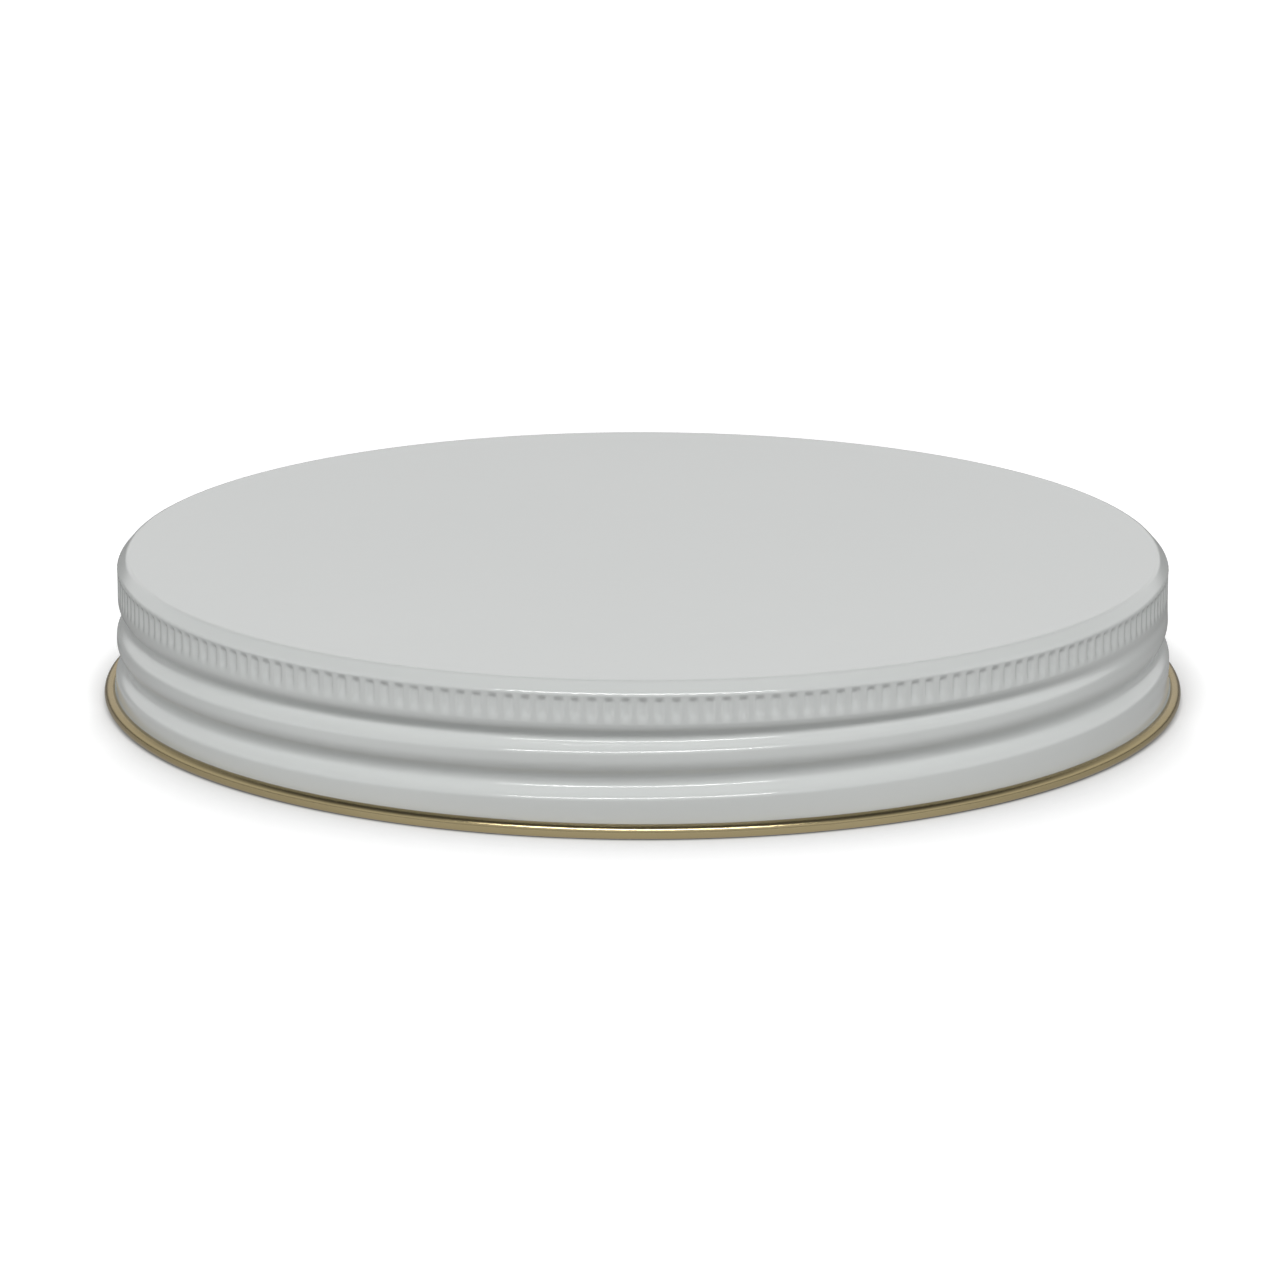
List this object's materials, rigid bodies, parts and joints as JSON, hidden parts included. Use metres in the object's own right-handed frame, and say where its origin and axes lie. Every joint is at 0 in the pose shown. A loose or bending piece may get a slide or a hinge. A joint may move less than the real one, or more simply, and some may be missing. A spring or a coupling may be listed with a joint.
{
  "type": "jar lid",
  "caption": "Round white-coated tinplate screw lid with a knurled grip band, a rolled thread, a curled lower edge and a sealing ring inside.",
  "frame": {"origin": "centre of the plane that the curled edge stands on", "axes": "+Z along the lid's axis, from the open mouth up to the panel; -Y is the side that faces the viewer"},
  "size_m": [0.125, 0.125, 0.0169],
  "materials": {
    "white_coat": "glossy white enamel on tinplate, with clear gold lacquer inside and on the curled edge",
    "compound": "soft off-white flowed-in sealing compound, dull"
  },
  "bodies": {
    "root": {"shell": "white_coat", "sealing_ring": "compound"}
  },
  "joints": []
}
